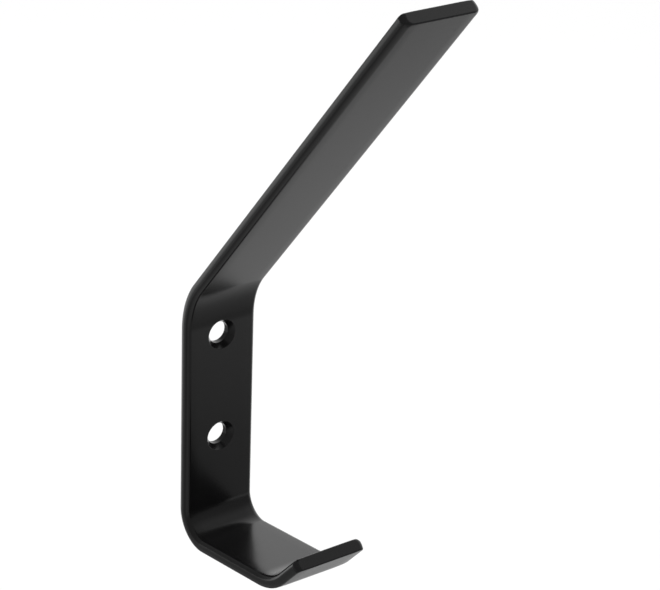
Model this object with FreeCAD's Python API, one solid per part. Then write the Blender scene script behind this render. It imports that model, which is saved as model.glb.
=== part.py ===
import FreeCAD, Part
import math
import os
from FreeCAD import Vector

# Hat and coat hook, bent from one length of flat steel bar and screwed to a wall.
# The long upper arm leans out of the wall for a hat, the short lower arm and its
# upturned lip hold a coat by its loop. Sizes in millimetres, angles in degrees.
# Z is up, the wall is the plane y = 0 and the hook stands out of it towards -Y.
# The origin lies on the wall plane, midway between the two screw holes.

# Flat bar, and the powder coat that covers it on every side
bar_width = 20.0
bar_thickness = 3.0
coat_thickness = 0.1
strip_width = bar_width + 2.0 * coat_thickness
strip_thickness = bar_thickness + 2.0 * coat_thickness

# The narrow sides bulge a little, and every edge is rounded over the coat
side_bulge_radius = 5.0
front_edge_radius = 1.3
back_edge_radius = 0.35
end_edge_radius = 0.35

# Countersunk screw holes on the centre line of the back plate
hole_spacing = 28.0
hole_diameter = 5.6
countersink_diameter = 7.8
countersink_angle = 70.0
hole_rim_radius = 0.2

# Flat of the back plate below the lower hole and above the upper one
lower_plate_length = 18.65
upper_plate_length = 2.65

# Every bend curls towards the front, and its radius is that of the front face
upper_bend_angle = 40.0
upper_bend_radius = 18.5
upper_arm_length = 114.0
lower_bend_angle = 97.0
lower_bend_radius = 5.6
lower_arm_length = 24.4
lip_bend_angle = 40.0
lip_bend_radius = 14.0
lip_length = 8.8

# Heights on the plate, measured from the middle of the hole pattern
upper_hole_z = hole_spacing / 2.0
lower_hole_z = -hole_spacing / 2.0
plate_top_z = upper_hole_z + upper_plate_length
plate_bottom_z = lower_hole_z - lower_plate_length

# The bends and straights above the plate and below it, each with its turning angle,
# the radius of its front face, and the length of the straight that follows
arm_steps = [(upper_bend_angle, upper_bend_radius, upper_arm_length)]
hook_steps = [
    (-lower_bend_angle, lower_bend_radius, lower_arm_length),
    (-lip_bend_angle, lip_bend_radius, lip_length),
]

# A cutter starts this far outside the metal, and edges are found to this tolerance
cutter_overshoot = 1.0
tolerance = 0.001

up = Vector(0.0, 0.0, 1.0)
down = Vector(0.0, 0.0, -1.0)
into_wall = Vector(0.0, 1.0, 0.0)


def turned(vector, angle):
    """A side-view vector turned by an angle, positive from up towards the front."""
    a = math.radians(angle)
    y = vector.y * math.cos(a) - vector.z * math.sin(a)
    z = vector.y * math.sin(a) + vector.z * math.cos(a)
    return Vector(0.0, y, z)


def bends_and_straights(start, heading, steps, depth):
    """Edges of a tangent line in the side view, with its end point.

    A step is (turning angle, front-face radius, length of the straight after the bend).
    The line lies at a depth behind the front face, so its bends are that much larger.
    """
    edges = []
    for angle, front_radius, length in steps:
        to_centre = turned(heading, math.copysign(90.0, angle)) * (front_radius + depth)
        bend_middle = start + to_centre - turned(to_centre, angle / 2.0)
        bend_end = start + to_centre - turned(to_centre, angle)
        heading = turned(heading, angle)
        straight_end = bend_end + heading * length
        edges.append(Part.Arc(start, bend_middle, bend_end).toShape())
        edges.append(Part.LineSegment(bend_end, straight_end).toShape())
        start = straight_end
    return edges, start


def strip_line(depth):
    """The whole strip's side view at a depth behind its front face, with both tips."""
    top = Vector(0.0, depth - strip_thickness, plate_top_z)
    bottom = Vector(0.0, depth - strip_thickness, plate_bottom_z)
    arm, arm_tip = bends_and_straights(top, up, arm_steps, depth)
    hook, lip_tip = bends_and_straights(bottom, down, hook_steps, depth)
    plate = Part.LineSegment(top, bottom).toShape()
    return arm + [plate] + hook, arm_tip, lip_tip


def bulge():
    """How far the middle of a narrow side stands out beyond its two edges."""
    half = strip_thickness / 2.0
    return side_bulge_radius - math.sqrt(side_bulge_radius ** 2 - half ** 2)


def plate_section(height):
    """The strip's cross-section on the plate, before its edges are rounded."""
    face_x = strip_width / 2.0 - bulge()
    side_x = strip_width / 2.0
    front_left = Vector(-face_x, -strip_thickness, height)
    front_right = Vector(face_x, -strip_thickness, height)
    back_left = Vector(-face_x, 0.0, height)
    back_right = Vector(face_x, 0.0, height)
    middle_left = Vector(-side_x, -strip_thickness / 2.0, height)
    middle_right = Vector(side_x, -strip_thickness / 2.0, height)
    outline = Part.Wire([
        Part.LineSegment(front_left, front_right).toShape(),
        Part.Arc(front_right, middle_right, back_right).toShape(),
        Part.LineSegment(back_right, back_left).toShape(),
        Part.Arc(back_left, middle_left, front_left).toShape(),
    ])
    return Part.Face(outline)


def swept_steps(section, start, heading, steps):
    """A cross-section carried along bends and straights, as one solid for each."""
    solids = []
    for angle, front_radius, length in steps:
        centre = start + turned(heading, math.copysign(90.0, angle)) * front_radius
        axis = Vector(math.copysign(1.0, angle), 0.0, 0.0)
        solids.append(section.revolve(centre, axis, abs(angle)))
        section.rotate(centre, axis, abs(angle))
        heading = turned(heading, angle)
        solids.append(section.extrude(heading * length))
        start = centre - turned(heading, math.copysign(90.0, angle)) * front_radius
        start = start + heading * length
        section.translate(heading * length)
    return solids


def sharp_strip():
    """The bent strip before its edges are rounded: one cross-section swept along it."""
    front_top = Vector(0.0, -strip_thickness, plate_top_z)
    front_bottom = Vector(0.0, -strip_thickness, plate_bottom_z)
    plate = plate_section(plate_bottom_z).extrude(up * (plate_top_z - plate_bottom_z))
    arm = swept_steps(plate_section(plate_top_z), front_top, up, arm_steps)
    hook = swept_steps(plate_section(plate_bottom_z), front_bottom, down, hook_steps)
    return plate.fuse(arm + hook).Solids[0]


def long_edges(solid, depth):
    """The edges down both sides of the strip that lie at a depth behind its front face."""
    line = Part.Wire(Part.__sortEdges__(strip_line(depth)[0]))
    face_x = strip_width / 2.0 - bulge()
    found = []
    for edge in solid.Edges:
        middle = edge.valueAt((edge.FirstParameter + edge.LastParameter) / 2.0)
        in_side_view = Part.Vertex(Vector(0.0, middle.y, middle.z))
        at_a_side = abs(abs(middle.x) - face_x) < tolerance
        if at_a_side and line.distToShape(in_side_view)[0] < tolerance:
            found.append(edge)
    return found


def end_edges(solid):
    """The edges round the two cut ends of the strip."""
    tips = strip_line(strip_thickness / 2.0)[1:]
    found = []
    for tip in tips:
        end_face = min(solid.Faces, key=lambda face: face.distToShape(Part.Vertex(tip))[0])
        found.extend(end_face.Edges)
    return found


def rounded_strip():
    """The bent strip with its four long edges and its two cut ends rounded."""
    widest = 0.45 * strip_thickness
    front_radius = min(front_edge_radius, widest)
    back_radius = min(back_edge_radius, widest)
    end_radius = min(end_edge_radius, widest, front_radius, back_radius)
    solid = sharp_strip()
    solid = solid.makeFillet(front_radius, long_edges(solid, 0.0))
    solid = solid.makeFillet(back_radius, long_edges(solid, strip_thickness))
    return solid.makeFillet(end_radius, end_edges(solid))


def screw_hole_cutter(height):
    """A bore through the plate with a cone that opens it at the front face."""
    bore_radius = hole_diameter / 2.0
    rim_radius = countersink_diameter / 2.0
    slope = math.tan(math.radians(countersink_angle / 2.0))
    cone_depth = (rim_radius - bore_radius) / slope
    front = Vector(0.0, -strip_thickness - cutter_overshoot, height)
    through = strip_thickness + 2.0 * cutter_overshoot
    bore = Part.makeCylinder(bore_radius, through, front, into_wall)
    mouth_radius = rim_radius + cutter_overshoot * slope
    cone_length = cone_depth + cutter_overshoot
    cone = Part.makeCone(mouth_radius, bore_radius, cone_length, front, into_wall)
    return bore.fuse(cone)


def near_axis(edge, height, reach):
    """Whether both the start and the middle of an edge lie near a screw hole's axis."""
    halfway = (edge.FirstParameter + edge.LastParameter) / 2.0
    points = [edge.valueAt(edge.FirstParameter), edge.valueAt(halfway)]
    return all(math.hypot(point.x, point.z - height) < reach for point in points)


def rim_edges(solid, height):
    """The rims of one screw hole, on the front face and on the back face."""
    reach = countersink_diameter / 2.0 + hole_rim_radius
    found = []
    for edge in solid.Edges:
        y = edge.valueAt(edge.LastParameter).y
        on_front = y < tolerance - strip_thickness
        on_back = y > -tolerance
        if near_axis(edge, height, reach) and (on_front or on_back):
            found.append(edge)
    return found


def coat_hook():
    """The finished strip: bent, rounded, drilled, countersunk and deburred."""
    solid = rounded_strip()
    for height in (upper_hole_z, lower_hole_z):
        solid = solid.cut(screw_hole_cutter(height))
        solid = solid.makeFillet(hole_rim_radius, rim_edges(solid, height))
    return solid.Solids[0]


os.makedirs("parts", exist_ok=True)
coat_hook().exportStep("parts/hook.step")
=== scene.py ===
import math
import bmesh
import bpy
from mathutils import Matrix, Vector


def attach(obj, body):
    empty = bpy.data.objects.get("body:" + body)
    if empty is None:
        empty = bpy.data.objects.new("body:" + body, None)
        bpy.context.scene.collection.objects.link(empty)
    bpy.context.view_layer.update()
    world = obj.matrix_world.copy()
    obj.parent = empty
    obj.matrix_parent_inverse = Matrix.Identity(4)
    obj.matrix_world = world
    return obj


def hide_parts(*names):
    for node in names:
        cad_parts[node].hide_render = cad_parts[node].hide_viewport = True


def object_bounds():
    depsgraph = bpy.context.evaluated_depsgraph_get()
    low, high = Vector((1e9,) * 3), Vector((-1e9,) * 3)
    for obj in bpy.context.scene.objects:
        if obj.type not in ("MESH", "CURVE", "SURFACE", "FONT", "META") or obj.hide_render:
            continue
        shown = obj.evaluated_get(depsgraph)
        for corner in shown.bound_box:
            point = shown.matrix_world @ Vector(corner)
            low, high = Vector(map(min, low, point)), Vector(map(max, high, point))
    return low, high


# A hat and coat hook for a wall, bent from one length of flat steel bar.
# It hangs free over a pale floor, seen from above its left side.

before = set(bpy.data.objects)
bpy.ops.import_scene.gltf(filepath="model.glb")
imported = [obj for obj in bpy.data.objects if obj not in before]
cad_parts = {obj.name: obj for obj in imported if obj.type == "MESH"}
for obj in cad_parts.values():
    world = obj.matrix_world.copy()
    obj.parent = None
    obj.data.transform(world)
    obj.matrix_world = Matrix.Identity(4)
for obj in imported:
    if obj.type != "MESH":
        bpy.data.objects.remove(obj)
cad_low, cad_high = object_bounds()

# The strip
# One flat steel bar, punched and countersunk for two screws, bent three times, rounded
# off at the corners of its ends and powder coated. The coat is a thin satin black skin
# that flows round every edge. The sizes are in millimetres, over the coat.
strip_width = 20.19
strip_thickness = 3.2
side_bulge_radius = 5.0
front_edge_radius = 1.3
back_edge_radius = 0.35
end_corner_radius = 1.3
end_edge_radius = 0.35
side_fall_start = 6.3
side_fall_width = 3.8
side_fall_depth = 0.12
hole_height = 14.0
hole_radius = 2.8
countersink_radius = 3.9
countersink_lean = math.radians(35.0)
hole_rim_radius = 0.2
cone_foot_width = 0.06
plate_top = 16.65
plate_bottom = -32.65
arm_run = [(40.0, 18.5, 114.0)]
hook_run = [(-97.0, 5.6, 24.4), (-40.0, 14.0, 8.8)]
millimetre = 0.001

bend_step = 2.0
face_steps = 6
front_edge_steps = 12
side_steps = 8
back_edge_steps = 8
end_steps = 8
rim_steps = 4
hole_sides = 64

coat_black = (0.0042, 0.0042, 0.0044, 1.0)
coat_grey = (0.0065, 0.0064, 0.0066, 1.0)
coat_roughness = 0.22
roughness_spread = 0.03
coat_ior = 1.5
mottle_scale = 90.0
mottle_detail = 3.0
orange_peel_size = 0.0016
orange_peel_height = 0.000004
orange_peel_detail = 2.0


def arc_points(centre, radius, start, end, steps):
    """Points round an arc of the strip's section, each with the way it faces."""
    points = []
    for step in range(steps + 1):
        angle = math.radians(start + (end - start) * step / steps)
        facing = (math.cos(angle), math.sin(angle))
        place = (centre[0] + radius * facing[0], centre[1] + radius * facing[1])
        points.append((place, facing))
    return points


def face_points(edge_x, depth, facing_depth):
    """Points along a flat face, from its middle to where the rounded edge begins."""
    facing = (0.0, facing_depth)
    points = [((0.0, depth), facing)]
    for step in range(face_steps):
        x = side_fall_start + (edge_x - side_fall_start) * step / face_steps
        points.append(((x, depth), facing))
    return points


def fallen_off(place, facing):
    """The same point once both faces have fallen away a little towards the sides."""
    x, depth = place
    reach = max(x - side_fall_start, 0.0) / side_fall_width
    fall = side_fall_depth * reach ** 2
    slope = 2.0 * side_fall_depth * reach / side_fall_width
    lever = 1.0 - 2.0 * depth / strip_thickness
    across = (1.0 - 2.0 * fall / strip_thickness) * facing[0] - slope * lever * facing[1]
    return (x, depth + fall * lever), (across, facing[1])


def half_section():
    """The right half of the strip's section, from the middle of its front to its back."""
    side_x = strip_width / 2.0 - side_bulge_radius
    side_depth = strip_thickness / 2.0
    front_reach = side_bulge_radius - front_edge_radius
    back_reach = side_bulge_radius - back_edge_radius
    front_rise = front_edge_radius - side_depth
    back_rise = side_depth - back_edge_radius
    front_x = side_x + math.sqrt(front_reach ** 2 - front_rise ** 2)
    back_x = side_x + math.sqrt(back_reach ** 2 - back_rise ** 2)
    front_turn = math.degrees(math.asin(front_rise / front_reach))
    back_turn = math.degrees(math.asin(back_rise / back_reach))
    front_centre = (front_x, front_edge_radius)
    back_centre = (back_x, strip_thickness - back_edge_radius)
    side_centre = (side_x, side_depth)
    front_edge = arc_points(
        front_centre, front_edge_radius, -90.0, front_turn, front_edge_steps)
    side = arc_points(side_centre, side_bulge_radius, front_turn, back_turn, side_steps)
    back_edge = arc_points(back_centre, back_edge_radius, back_turn, 90.0, back_edge_steps)
    front = face_points(front_x, 0.0, -1.0)
    back = face_points(back_x, strip_thickness, 1.0)
    half = front + front_edge + side[1:-1] + back_edge + back[::-1]
    return [fallen_off(place, facing) for place, facing in half]


def stations_along(start, run, way):
    """Places on the front face down a run of bends and straights.

    A run is a list of bend angle, radius at the front face and length of the straight
    after it. A station is y, z, the turn so far and, near the end, how far from it.
    """
    y, z = start
    turn = 0.0
    stations = [(y, z, turn, None)]
    for number, (bend, radius, straight) in enumerate(run):
        centre_y = y - math.cos(turn) * radius
        centre_z = z - math.sin(turn) * radius
        steps = math.ceil(abs(bend) / bend_step)
        for step in range(1, steps + 1):
            angle = turn + math.radians(bend) * step / steps
            y = centre_y + math.cos(angle) * radius
            z = centre_z + math.sin(angle) * radius
            stations.append((y, z, angle, None))
        turn = angle
        ahead_y = -math.sin(turn) * way
        ahead_z = math.cos(turn) * way
        if number < len(run) - 1:
            y += ahead_y * straight
            z += ahead_z * straight
            stations.append((y, z, turn, None))
    reaches = set()
    for radius in (end_corner_radius, end_edge_radius):
        for step in range(end_steps + 1):
            angle = math.pi / 2.0 * step / end_steps
            reaches.add(round(radius * (1.0 - math.sin(angle)), 6))
    for reach in sorted(reaches, reverse=True):
        along = straight - reach
        stations.append((y + ahead_y * along, z + ahead_z * along, turn, reach))
    return stations


def drawn_in(reach, radius):
    """How far a rounded end has drawn in at a reach from its tip, and how fast."""
    if reach is None or reach >= radius:
        return 0.0, 0.0
    depth = radius - reach
    rest = math.sqrt(max(radius ** 2 - depth ** 2, 1e-12))
    return radius - rest, depth / rest


def new_point(skin, place, facing):
    """A point of the skin, which remembers the way that the metal faces there."""
    point = skin.verts.new(place * millimetre)
    point[skin.verts.layers.float_vector["facing"]] = facing.normalized()
    return point


def strip_ring(skin, section, station, way):
    """A ring of points round the strip, drawn in where an end is near."""
    y, z, turn, reach = station
    corner, corner_rate = drawn_in(reach, end_corner_radius)
    edge, edge_rate = drawn_in(reach, end_edge_radius)
    narrowed = 1.0 - 2.0 * corner / strip_width
    narrowing = -2.0 * corner_rate / strip_width
    thinned = 1.0 - 2.0 * edge / strip_thickness
    inwards = Vector((0.0, math.cos(turn), math.sin(turn)))
    outwards = Vector((0.0, -math.sin(turn), math.cos(turn))) * way
    ring = []
    for (x, depth), (facing_x, facing_depth) in section:
        thinning = edge_rate * (1.0 - 2.0 * depth / strip_thickness)
        axial = -narrowed * facing_depth * thinning - thinned * facing_x * narrowing * x
        across = Vector((thinned * facing_x, 0.0, 0.0)) + inwards * narrowed * facing_depth
        place = Vector((x * narrowed, y, z)) + inwards * (edge + depth * thinned)
        ring.append(new_point(skin, place, across + outwards * axial))
    return ring


def join_rings(skin, ring, following, left_open=()):
    """Faces between two rings of points, except at the steps that are left open."""
    for step in range(len(ring)):
        after = (step + 1) % len(ring)
        if step not in left_open:
            skin.faces.new((ring[step], ring[after], following[after], following[step]))


def hole_profile():
    """Radius, depth, facing and face down a screw hole, from the front to the back."""
    lean = math.pi / 2.0 - countersink_lean
    slope = math.tan(countersink_lean)
    cone_depth = (countersink_radius - hole_radius) / slope
    rim = countersink_radius + hole_rim_radius * math.tan(lean / 2.0)
    profile = []
    for step in range(rim_steps + 1):
        angle = lean * step / rim_steps
        radius = rim - hole_rim_radius * math.sin(angle)
        depth = hole_rim_radius * (1.0 - math.cos(angle))
        profile.append((radius, depth, -math.sin(angle), -math.cos(angle), "front"))
    foot_radius = hole_radius + cone_foot_width * slope
    foot_depth = cone_depth - cone_foot_width
    profile.append((foot_radius, foot_depth, -math.sin(lean), -math.cos(lean), ""))
    profile.append((hole_radius, cone_depth + cone_foot_width, -1.0, 0.0, ""))
    for step in range(rim_steps + 1):
        angle = math.pi / 2.0 * step / rim_steps
        radius = hole_radius + hole_rim_radius * (1.0 - math.cos(angle))
        depth = strip_thickness - hole_rim_radius * (1.0 - math.sin(angle))
        profile.append((radius, depth, -math.cos(angle), math.sin(angle), "back"))
    return profile


def hole_spokes(profile):
    """Angles round a hole, and the sides at which its two rims meet the upper bend."""
    spokes = [2.0 * math.pi * side / hole_sides for side in range(hole_sides)]
    crossings = []
    for rim in (profile[0], profile[-1]):
        angle = math.acos((plate_top - hole_height) / rim[0])
        side = round(angle / spokes[1])
        spokes[side] = angle
        spokes[-side] = 2.0 * math.pi - angle
        crossings.append(side)
    return spokes, crossings


def screw_hole(skin, height, profile, spokes):
    """The wall of a screw hole, whose rims follow the upper bend where they reach it."""
    bend_radius = arm_run[0][1]
    face_bends = {"front": bend_radius, "back": bend_radius + strip_thickness}
    hole = []
    for radius, depth, facing_out, facing_depth, face in profile:
        ring = []
        for angle in spokes:
            spoke = Vector((math.sin(angle), 0.0, math.cos(angle)))
            place = Vector((0.0, depth - strip_thickness, height)) + spoke * radius
            turn = 0.0
            if face and place.z > plate_top:
                turn = math.asin((place.z - plate_top) / face_bends[face])
                place.y -= face_bends[face] * (1.0 - math.cos(turn))
            inwards = Vector((0.0, math.cos(turn), math.sin(turn)))
            facing = spoke * facing_out + inwards * facing_depth
            ring.append(new_point(skin, place, facing))
        hole.append(ring)
    for ring, deeper in zip(hole, hole[1:]):
        join_rings(skin, ring, deeper)
    return hole


def face_round_holes(skin, rings, middle, right, rims, crossing):
    """One face of the plate, in a flat part and a part in the upper bend on each side.

    The rings run from the plate's lower end to just above the upper hole.
    """
    for way in (1, -1):
        border = (middle + way * right) % len(rings[0])
        around = [way * side % hole_sides for side in range(hole_sides // 2 + 1)]
        upper_rim = [rims[0][side] for side in around]
        lower_rim = [rims[1][side] for side in around]
        flat = [rings[0][middle], rings[0][border], rings[1][border]]
        skin.faces.new(flat + upper_rim[crossing:] + lower_rim)
        edge = [ring[border] for ring in rings[1:]]
        skin.faces.new(edge + [rings[-1][middle]] + upper_rim[:crossing + 1])


def bent_strip():
    """The strip as one closed skin, with every point facing exactly as the metal does."""
    skin = bmesh.new()
    skin.verts.layers.float_vector.new("facing")
    half = half_section()
    mirrored = []
    for (x, depth), (facing_x, facing_depth) in half[-2:0:-1]:
        mirrored.append(((-x, depth), (-facing_x, facing_depth)))
    section = half + mirrored
    lower = stations_along((-strip_thickness, plate_bottom), hook_run, -1.0)
    upper = stations_along((-strip_thickness, plate_top), arm_run, 1.0)
    rings = [strip_ring(skin, section, station, -1.0) for station in lower[::-1]]
    rings += [strip_ring(skin, section, station, 1.0) for station in upper]

    profile = hole_profile()
    spokes, crossings = hole_spokes(profile)
    holes = [
        screw_hole(skin, hole_height, profile, spokes),
        screw_hole(skin, -hole_height, profile, spokes),
    ]
    plate = len(lower) - 1
    above = plate + 2
    while rings[above][0].co.z < (hole_height + profile[0][0]) * millimetre:
        above += 1
    back_middle = len(half) - 1
    beside_middles = (0, len(section) - 1, back_middle - 1, back_middle)
    for number, (ring, following) in enumerate(zip(rings, rings[1:])):
        holed = plate <= number < above
        join_rings(skin, ring, following, beside_middles if holed else ())
    skin.faces.new(rings[0])
    skin.faces.new(rings[-1])
    plate_rings = rings[plate:above + 1]
    front_rims = [hole[0] for hole in holes]
    back_rims = [hole[-1] for hole in holes]
    face_round_holes(skin, plate_rings, 0, 1, front_rims, crossings[0])
    face_round_holes(skin, plate_rings, back_middle, -1, back_rims, crossings[1])

    unused = [point for point in skin.verts if not point.link_faces]
    bmesh.ops.delete(skin, geom=unused, context="VERTS")
    bmesh.ops.recalc_face_normals(skin, faces=skin.faces)
    for face in skin.faces:
        face.smooth = True
    mesh = bpy.data.meshes.new("bent_strip")
    skin.to_mesh(mesh)
    skin.free()
    facings = [tuple(item.vector) for item in mesh.attributes["facing"].data]
    mesh.attributes.remove(mesh.attributes["facing"])
    mesh.normals_split_custom_set_from_vertices(facings)
    return mesh


def powder_coat():
    """Satin black powder coat: a faint mottle, and the shallow waves of melted powder."""
    material = bpy.data.materials.new("satin_black_powder_coat")
    material.use_nodes = True
    nodes = material.node_tree.nodes
    links = material.node_tree.links
    coat = nodes["Principled BSDF"]
    coat.inputs["IOR"].default_value = coat_ior

    place = nodes.new("ShaderNodeTexCoord")
    mottle = nodes.new("ShaderNodeTexNoise")
    mottle.inputs["Scale"].default_value = mottle_scale
    mottle.inputs["Detail"].default_value = mottle_detail
    links.new(place.outputs["Object"], mottle.inputs["Vector"])

    tone = nodes.new("ShaderNodeMix")
    tone.data_type = "RGBA"
    tone.inputs["A"].default_value = coat_black
    tone.inputs["B"].default_value = coat_grey
    links.new(mottle.outputs["Fac"], tone.inputs["Factor"])
    links.new(tone.outputs["Result"], coat.inputs["Base Color"])

    sheen = nodes.new("ShaderNodeMapRange")
    sheen.inputs["To Min"].default_value = coat_roughness - roughness_spread
    sheen.inputs["To Max"].default_value = coat_roughness + roughness_spread
    links.new(mottle.outputs["Fac"], sheen.inputs["Value"])
    links.new(sheen.outputs["Result"], coat.inputs["Roughness"])

    waves = nodes.new("ShaderNodeTexNoise")
    waves.inputs["Scale"].default_value = 1.0 / orange_peel_size
    waves.inputs["Detail"].default_value = orange_peel_detail
    links.new(place.outputs["Object"], waves.inputs["Vector"])
    peel = nodes.new("ShaderNodeMath")
    peel.operation = "MULTIPLY"
    peel.inputs[1].default_value = orange_peel_height
    links.new(waves.outputs["Fac"], peel.inputs[0])
    relief = nodes.new("ShaderNodeBump")
    relief.inputs["Strength"].default_value = 1.0
    relief.inputs["Distance"].default_value = 1.0
    links.new(peel.outputs["Value"], relief.inputs["Height"])
    links.new(relief.outputs["Normal"], coat.inputs["Normal"])
    return material


strip = bpy.data.objects.new("bent_strip", bent_strip())
bpy.context.scene.collection.objects.link(strip)
strip.data.materials.append(powder_coat())
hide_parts("hook")
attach(strip, "root")

# The floor
# A sheet of pale paper well below the hook, white behind it and with soft bands of painted shade
# in front, which the black coat mirrors as the dim room in front of the hook. It is stage, not
# part of the hook, and can't be seen from underneath.
floor_drop = 0.26
floor_reach = 3.0
toward_front = (0.57, -0.82, 0.0)
tones_from = -1.0
tones_to = 1.5
# The grey stops are painted shade: darker stretches of paper that the coat mirrors in place of
# the dim room in front of the hook.
painted_shade_tones = [
    (-0.70, 0.36), (-0.42, 0.23), (0.10, 0.48), (0.24, 0.33), (0.40, 0.32), (0.51, 0.22),
    (0.77, 0.68), (1.20, 0.22),
]
paper_white = (1.0, 1.0, 1.0, 1.0)
toward_white = (0.66, 0.75, 0.0)
white_starts = 0.195
white_full = 0.345


def paper():
    """Paper with bands of painted shade whose grey changes from back to front, and turns white
    behind the hook.
    """
    material = bpy.data.materials.new("stage_paper")
    material.use_nodes = True
    nodes = material.node_tree.nodes
    links = material.node_tree.links
    surface = nodes["Principled BSDF"]
    surface.inputs["Roughness"].default_value = 1.0
    surface.inputs["Specular IOR Level"].default_value = 0.0

    place = nodes.new("ShaderNodeTexCoord")
    frontwards = nodes.new("ShaderNodeVectorMath")
    frontwards.operation = "DOT_PRODUCT"
    frontwards.inputs[1].default_value = toward_front
    links.new(place.outputs["Object"], frontwards.inputs[0])
    measure = nodes.new("ShaderNodeMapRange")
    measure.inputs["From Min"].default_value = tones_from
    measure.inputs["From Max"].default_value = tones_to
    links.new(frontwards.outputs["Value"], measure.inputs["Value"])
    # Painted shade: the grey bands laid along the paper from back to front.
    painted_shade_bands = nodes.new("ShaderNodeValToRGB")
    painted_shade_bands.color_ramp.interpolation = "EASE"
    stops = painted_shade_bands.color_ramp.elements
    while len(stops) < len(painted_shade_tones):
        stops.new(0.5)
    for stop, (reach, grey) in zip(stops, painted_shade_tones):
        stop.position = (reach - tones_from) / (tones_to - tones_from)
        stop.color = (grey, grey, grey, 1.0)
    links.new(measure.outputs["Result"], painted_shade_bands.inputs["Fac"])

    backwards = nodes.new("ShaderNodeVectorMath")
    backwards.operation = "DOT_PRODUCT"
    backwards.inputs[1].default_value = toward_white
    links.new(place.outputs["Object"], backwards.inputs[0])
    behind = nodes.new("ShaderNodeMapRange")
    behind.interpolation_type = "SMOOTHSTEP"
    behind.inputs["From Min"].default_value = white_starts
    behind.inputs["From Max"].default_value = white_full
    links.new(backwards.outputs["Value"], behind.inputs["Value"])

    tone = nodes.new("ShaderNodeMix")
    tone.data_type = "RGBA"
    tone.inputs["B"].default_value = paper_white
    links.new(painted_shade_bands.outputs["Color"], tone.inputs["A"])
    links.new(behind.outputs["Result"], tone.inputs["Factor"])
    links.new(tone.outputs["Result"], surface.inputs["Base Color"])

    seen_from_below = nodes.new("ShaderNodeNewGeometry")
    clear = nodes.new("ShaderNodeBsdfTransparent")
    one_sided = nodes.new("ShaderNodeMixShader")
    links.new(seen_from_below.outputs["Backfacing"], one_sided.inputs["Fac"])
    links.new(surface.outputs["BSDF"], one_sided.inputs[1])
    links.new(clear.outputs["BSDF"], one_sided.inputs[2])
    links.new(one_sided.outputs["Shader"], nodes["Material Output"].inputs["Surface"])
    return material


floor_z = cad_low.z - floor_drop
floor_mesh = bpy.data.meshes.new("floor")
floor_corners = [
    (-floor_reach, -floor_reach, floor_z),
    (floor_reach, -floor_reach, floor_z),
    (floor_reach, floor_reach, floor_z),
    (-floor_reach, floor_reach, floor_z),
]
floor_mesh.from_pydata(floor_corners, [], [(0, 1, 2, 3)])
floor = bpy.data.objects.new("floor", floor_mesh)
bpy.context.scene.collection.objects.link(floor)
floor.data.materials.append(paper())

# The light
# A grey room with a white wall behind the hook and to its right, a soft window on the
# right, and one wide lamp overhead that gives plain light and no mirror image of itself.
room_grey = 0.24
wall_white = 1.1
toward_wall = (0.70, 0.65, 0.29)
wall_starts = 0.52
wall_full = 0.98
window_light = 0.5
toward_window = (0.853, -0.201, 0.482)
window_starts = 0.78
window_full = 1.0
lamp_side = 8.0
lamp_height = 4.0
lamp_radiance = 1.17


def glow(nodes, links, direction, centre, starts, full, light):
    """Light that rises smoothly towards one direction of the room."""
    nearness = nodes.new("ShaderNodeVectorMath")
    nearness.operation = "DOT_PRODUCT"
    nearness.inputs[1].default_value = centre
    links.new(direction.outputs["Generated"], nearness.inputs[0])
    rise = nodes.new("ShaderNodeMapRange")
    rise.interpolation_type = "SMOOTHSTEP"
    rise.inputs["From Min"].default_value = starts
    rise.inputs["From Max"].default_value = full
    rise.inputs["To Max"].default_value = light
    links.new(nearness.outputs["Value"], rise.inputs["Value"])
    return rise.outputs["Result"]


world = bpy.data.worlds.new("grey_room")
world.use_nodes = True
nodes = world.node_tree.nodes
links = world.node_tree.links
direction = nodes.new("ShaderNodeTexCoord")
wall = glow(nodes, links, direction, toward_wall, wall_starts, wall_full, wall_white - room_grey)
window = glow(nodes, links, direction, toward_window, window_starts, window_full, window_light)
wall_and_window = nodes.new("ShaderNodeMath")
links.new(wall, wall_and_window.inputs[0])
links.new(window, wall_and_window.inputs[1])
room = nodes.new("ShaderNodeMath")
room.inputs[1].default_value = room_grey
links.new(wall_and_window.outputs["Value"], room.inputs[0])
links.new(room.outputs["Value"], nodes["Background"].inputs["Color"])
bpy.context.scene.world = world

lamp_data = bpy.data.lights.new("overhead_lamp", "AREA")
lamp_data.shape = "SQUARE"
lamp_data.size = lamp_side
lamp_data.energy = lamp_radiance * math.pi * lamp_side ** 2
lamp = bpy.data.objects.new("overhead_lamp", lamp_data)
lamp.location = (0.0, 0.0, lamp_height)
lamp.visible_glossy = False
bpy.context.scene.collection.objects.link(lamp)

# The camera
# A long lens, looking down on the hook from its left.
view_azimuth = math.radians(-37.693)
view_elevation = math.radians(24.315)
aim = Vector((0.035319, -0.000198, 0.014797))
camera_distance = 0.59065
camera_roll = math.radians(2.0525)
lens_mm = 126.626
sensor_mm = 36.0

toward_camera = Vector((
    math.sin(view_azimuth) * math.cos(view_elevation),
    -math.cos(view_azimuth) * math.cos(view_elevation),
    math.sin(view_elevation),
))
level_right = Vector((math.cos(view_azimuth), math.sin(view_azimuth), 0.0))
level_up = toward_camera.cross(level_right)
right = level_right * math.cos(camera_roll) + level_up * math.sin(camera_roll)
up = toward_camera.cross(right)
camera_data = bpy.data.cameras.new("camera")
camera_data.lens = lens_mm
camera_data.sensor_width = sensor_mm
camera = bpy.data.objects.new("camera", camera_data)
axes = Matrix((right, up, toward_camera)).transposed()
camera.matrix_world = Matrix.Translation(aim + toward_camera * camera_distance) @ axes.to_4x4()
bpy.context.scene.collection.objects.link(camera)
bpy.context.scene.camera = camera

bpy.context.scene.view_settings.view_transform = "Standard"
